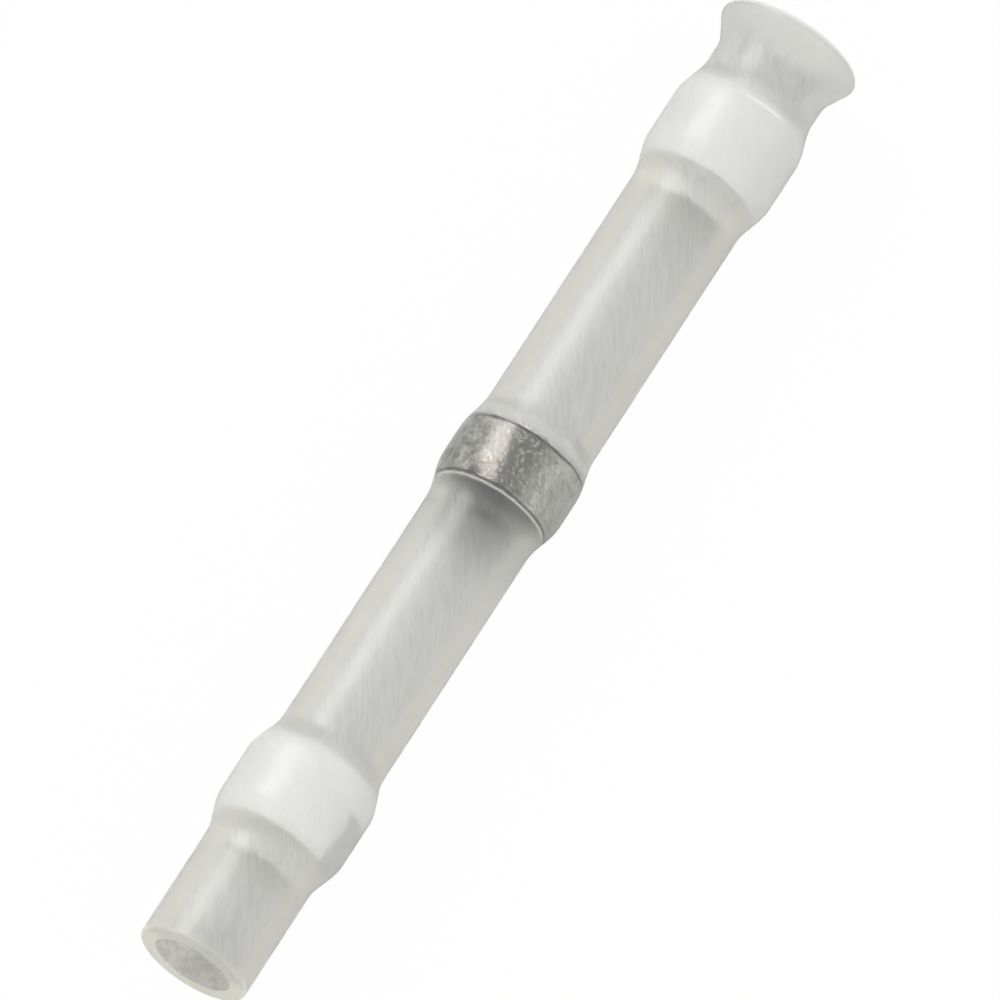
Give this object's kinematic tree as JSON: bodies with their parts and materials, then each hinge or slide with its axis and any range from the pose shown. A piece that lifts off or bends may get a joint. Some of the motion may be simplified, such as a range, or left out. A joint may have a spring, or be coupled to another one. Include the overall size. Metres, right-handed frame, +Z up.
{
  "type": "solder-sleeve butt splice connector",
  "caption": "Clear heat-shrink butt splice sleeve with a solder ring mid-length, a hot-melt sealing ring near each end and a flared mouth, for joining wires end to end.",
  "frame": {"origin": "on the sleeve's axis, at the middle of the solder ring", "axes": "+X along the sleeve towards its flared end, +Z up as the sleeve lies on its side"},
  "size_m": [0.026, 0.0034, 0.0034],
  "materials": {
    "sleeve": "satin, milky translucent",
    "solder": "dull grey solder",
    "sealant": "milky hot-melt"
  },
  "bodies": {
    "root": {"heat_shrink_sleeve": "sleeve", "solder_ring": "solder", "sealing_ring_plain_end": "sealant", "sealing_ring_flared_end": "sealant"}
  },
  "joints": []
}
